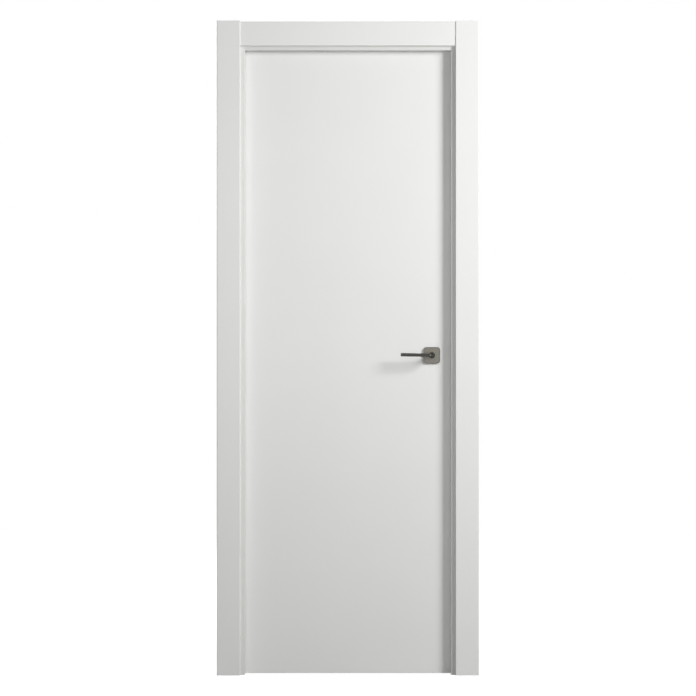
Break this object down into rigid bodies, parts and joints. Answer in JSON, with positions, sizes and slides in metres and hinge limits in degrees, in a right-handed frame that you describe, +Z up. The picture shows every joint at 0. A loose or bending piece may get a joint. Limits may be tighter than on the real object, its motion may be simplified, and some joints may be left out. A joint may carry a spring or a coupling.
{
  "type": "solid interior door",
  "caption": "White flush solid-core interior door, hung in a cased lining on butt hinges, with a satin nickel lever handle on a square rose on each face.",
  "frame": {"origin": "on the wall face of the hinge-side lining, at floor level and at mid depth of the lining", "axes": "+Z up; +X from the hinge side to the lock side; -Y towards the push side, where the leaf lies back behind its stops; +Y towards the pull side, where the hinges show"},
  "size_m": [0.879, 0.177, 2.195],
  "materials": {
    "casing_lacquer": "satin white lacquer on fibreboard",
    "lining_lacquer": "satin white lacquer on fibreboard",
    "leaf_lacquer": "satin white lacquer on hardboard skin",
    "leaf_timber": "softwood lipping, lacquered white on the edges",
    "leaf_core_board": "raw particle board",
    "handle_nickel": "satin nickel plate",
    "hinge_nickel": "satin nickel plate",
    "latch_steel": "zinc-plated steel",
    "seal_rubber": "matte grey rubber seal"
  },
  "bodies": {
    "frame": {"lining_hinge_side": "lining_lacquer", "lining_lock_side": "lining_lacquer", "lining_head": "lining_lacquer", "stop_hinge_side": "lining_lacquer", "stop_lock_side": "lining_lacquer", "stop_head": "lining_lacquer", "seal_hinge_side": "seal_rubber", "seal_lock_side": "seal_rubber", "seal_head": "seal_rubber", "casing_front_hinge_side": "casing_lacquer", "casing_front_lock_side": "casing_lacquer", "casing_front_head": "casing_lacquer", "casing_back_hinge_side": "casing_lacquer", "casing_back_lock_side": "casing_lacquer", "casing_back_head": "casing_lacquer", "strike_plate": "hinge_nickel", "hinge_top_frame_half": "hinge_nickel", "hinge_middle_frame_half": "hinge_nickel", "hinge_bottom_frame_half": "hinge_nickel", "hinge_top_pin": "hinge_nickel", "hinge_middle_pin": "hinge_nickel", "hinge_bottom_pin": "hinge_nickel"},
    "door": {"leaf_core": "leaf_core_board", "leaf_hinge_stile": "leaf_timber", "leaf_lock_stile": "leaf_timber", "leaf_top_rail": "leaf_timber", "leaf_bottom_rail": "leaf_timber", "leaf_front_skin": "leaf_lacquer", "leaf_back_skin": "leaf_lacquer", "hinge_top_leaf_half": "hinge_nickel", "hinge_middle_leaf_half": "hinge_nickel", "hinge_bottom_leaf_half": "hinge_nickel", "latch_case": "latch_steel", "latch_faceplate": "hinge_nickel", "latch_bolt": "latch_steel", "rose_front": "handle_nickel", "rose_back": "handle_nickel"},
    "handle": {"lever_front": "handle_nickel", "lever_back": "handle_nickel", "spindle": "latch_steel", "latch_follower": "latch_steel"}
  },
  "joints": [
    {"name": "door_swing", "type": "hinge", "parent": "frame", "child": "door", "pos_m": [0.0185, 0.042, 1], "axis": [0, 0, 1], "range_deg": [0, 145]},
    {"name": "lever_turn", "type": "hinge", "parent": "door", "child": "handle", "pos_m": [0.661, 0, 1.073], "axis": [0, -1, 0], "range_deg": [0, 40], "stiffness_Nm_per_rad": 0.8, "springref_deg": -34.38}
  ]
}
